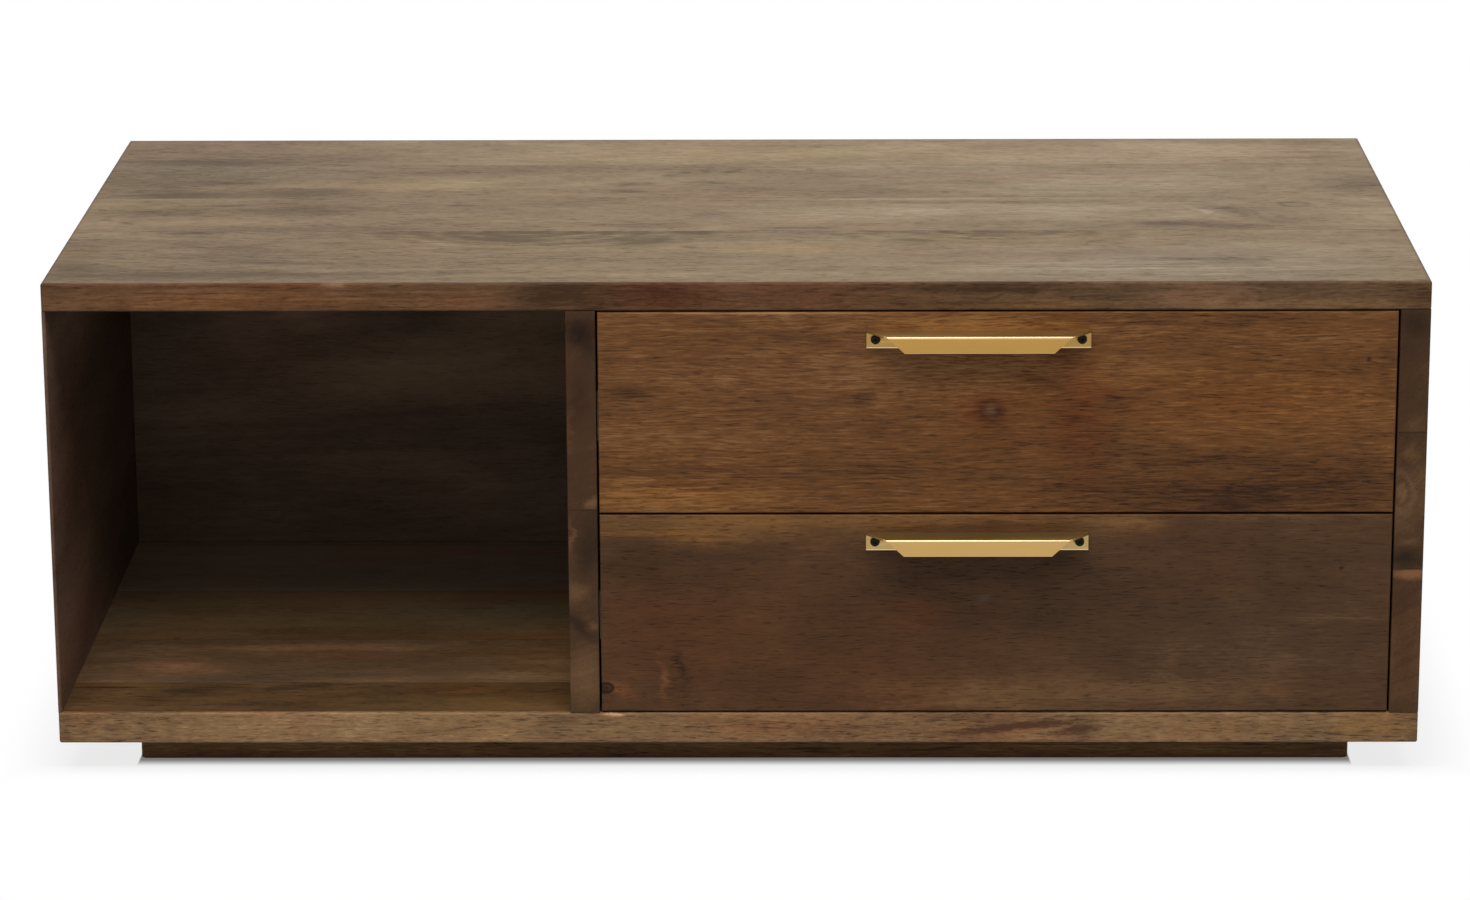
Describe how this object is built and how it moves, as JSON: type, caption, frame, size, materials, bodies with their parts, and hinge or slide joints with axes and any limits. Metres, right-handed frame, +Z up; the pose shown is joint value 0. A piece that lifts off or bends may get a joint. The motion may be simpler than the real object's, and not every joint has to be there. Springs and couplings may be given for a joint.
{
  "type": "coffee table",
  "caption": "Low rectangular wooden coffee table with an open bay beside stacked sliding drawers, folded brass pulls and a set-back plinth.",
  "frame": {"origin": "on the floor, at the middle of the bounding box of the table with its pulls", "axes": "+X to the right along the length, +Y from the drawer fronts to the back, +Z up"},
  "size_m": [1.2, 0.624, 0.45],
  "materials": {
    "top_wood": "stained, waxed satin",
    "carcass_wood": "stained, waxed satin",
    "back_panel_wood": "stained matt",
    "drawer_front_wood": "stained, waxed satin",
    "drawer_box_wood": "clear matt",
    "drawer_bottom_ply": "bare plywood",
    "plinth_wood": "stained, waxed satin",
    "dowel_wood": "bare",
    "pull_brass": "satin",
    "black_screw": "black satin",
    "runner_steel": "black zinc plated",
    "screw_steel": "zinc plated",
    "glide_plastic": "matt"
  },
  "bodies": {
    "root": {"back_panel": "back_panel_wood", "back_panel_screws": "screw_steel", "base_board_1": "carcass_wood", "base_board_2": "carcass_wood", "base_board_3": "carcass_wood", "base_board_4": "carcass_wood", "base_board_5": "carcass_wood", "carcass_dowels": "dowel_wood", "divider_board_1": "carcass_wood", "divider_board_2": "carcass_wood", "glides": "glide_plastic", "left_end_skin": "carcass_wood", "lower_left_runner_outer": "runner_steel", "lower_right_runner_outer": "runner_steel", "plinth_back_rail": "plinth_wood", "plinth_corner_blocks": "plinth_wood", "plinth_cross_rail": "plinth_wood", "plinth_front_rail": "plinth_wood", "plinth_left_rail": "plinth_wood", "plinth_right_rail": "plinth_wood", "plinth_screws": "screw_steel", "right_end_board_1": "carcass_wood", "right_end_board_2": "carcass_wood", "right_end_board_3": "carcass_wood", "runner_carcass_screws": "screw_steel", "top_board_1": "top_wood", "top_board_2": "top_wood", "top_board_3": "top_wood", "top_board_4": "top_wood", "upper_left_runner_outer": "runner_steel", "upper_right_runner_outer": "runner_steel"},
    "upper_drawer": {"upper_drawer_back": "drawer_box_wood", "upper_drawer_bottom": "drawer_bottom_ply", "upper_drawer_dowels": "dowel_wood", "upper_drawer_front": "drawer_front_wood", "upper_drawer_left_side": "drawer_box_wood", "upper_drawer_right_side": "drawer_box_wood", "upper_drawer_runner_screws": "screw_steel", "upper_left_runner_inner": "runner_steel", "upper_pull": "pull_brass", "upper_pull_screws": "black_screw", "upper_right_runner_inner": "runner_steel"},
    "upper_middle_members": {"upper_runner_middles": "runner_steel"},
    "upper_outer_ball_cages": {"upper_runner_outer_cages": "runner_steel"},
    "upper_inner_ball_cages": {"upper_runner_inner_cages": "runner_steel"},
    "lower_drawer": {"lower_drawer_back": "drawer_box_wood", "lower_drawer_bottom": "drawer_bottom_ply", "lower_drawer_dowels": "dowel_wood", "lower_drawer_front": "drawer_front_wood", "lower_drawer_left_side": "drawer_box_wood", "lower_drawer_right_side": "drawer_box_wood", "lower_drawer_runner_screws": "screw_steel", "lower_left_runner_inner": "runner_steel", "lower_pull": "pull_brass", "lower_pull_screws": "black_screw", "lower_right_runner_inner": "runner_steel"},
    "lower_middle_members": {"lower_runner_middles": "runner_steel"},
    "lower_outer_ball_cages": {"lower_runner_outer_cages": "runner_steel"},
    "lower_inner_ball_cages": {"lower_runner_inner_cages": "runner_steel"}
  },
  "joints": [
    {"name": "upper_drawer_slide", "type": "slide", "parent": "root", "child": "upper_drawer", "axis": [0, -1, 0], "range_m": [0, 0.43]},
    {"name": "upper_outer_ball_cages_slide", "type": "slide", "parent": "root", "child": "upper_outer_ball_cages", "axis": [0, -1, 0], "range_m": [0, 0.1075]},
    {"name": "upper_middle_members_slide", "type": "slide", "parent": "root", "child": "upper_middle_members", "axis": [0, -1, 0], "range_m": [0, 0.215]},
    {"name": "upper_inner_ball_cages_slide", "type": "slide", "parent": "root", "child": "upper_inner_ball_cages", "axis": [0, -1, 0], "range_m": [0, 0.3225]},
    {"name": "lower_drawer_slide", "type": "slide", "parent": "root", "child": "lower_drawer", "axis": [0, -1, 0], "range_m": [0, 0.43]},
    {"name": "lower_outer_ball_cages_slide", "type": "slide", "parent": "root", "child": "lower_outer_ball_cages", "axis": [0, -1, 0], "range_m": [0, 0.1075]},
    {"name": "lower_middle_members_slide", "type": "slide", "parent": "root", "child": "lower_middle_members", "axis": [0, -1, 0], "range_m": [0, 0.215]},
    {"name": "lower_inner_ball_cages_slide", "type": "slide", "parent": "root", "child": "lower_inner_ball_cages", "axis": [0, -1, 0], "range_m": [0, 0.3225]}
  ],
  "couplings": [
    {"joint": "upper_outer_ball_cages_slide", "follows": "upper_drawer_slide", "ratio": 0.25},
    {"joint": "upper_middle_members_slide", "follows": "upper_drawer_slide", "ratio": 0.5},
    {"joint": "upper_inner_ball_cages_slide", "follows": "upper_drawer_slide", "ratio": 0.75},
    {"joint": "lower_outer_ball_cages_slide", "follows": "lower_drawer_slide", "ratio": 0.25},
    {"joint": "lower_middle_members_slide", "follows": "lower_drawer_slide", "ratio": 0.5},
    {"joint": "lower_inner_ball_cages_slide", "follows": "lower_drawer_slide", "ratio": 0.75}
  ]
}
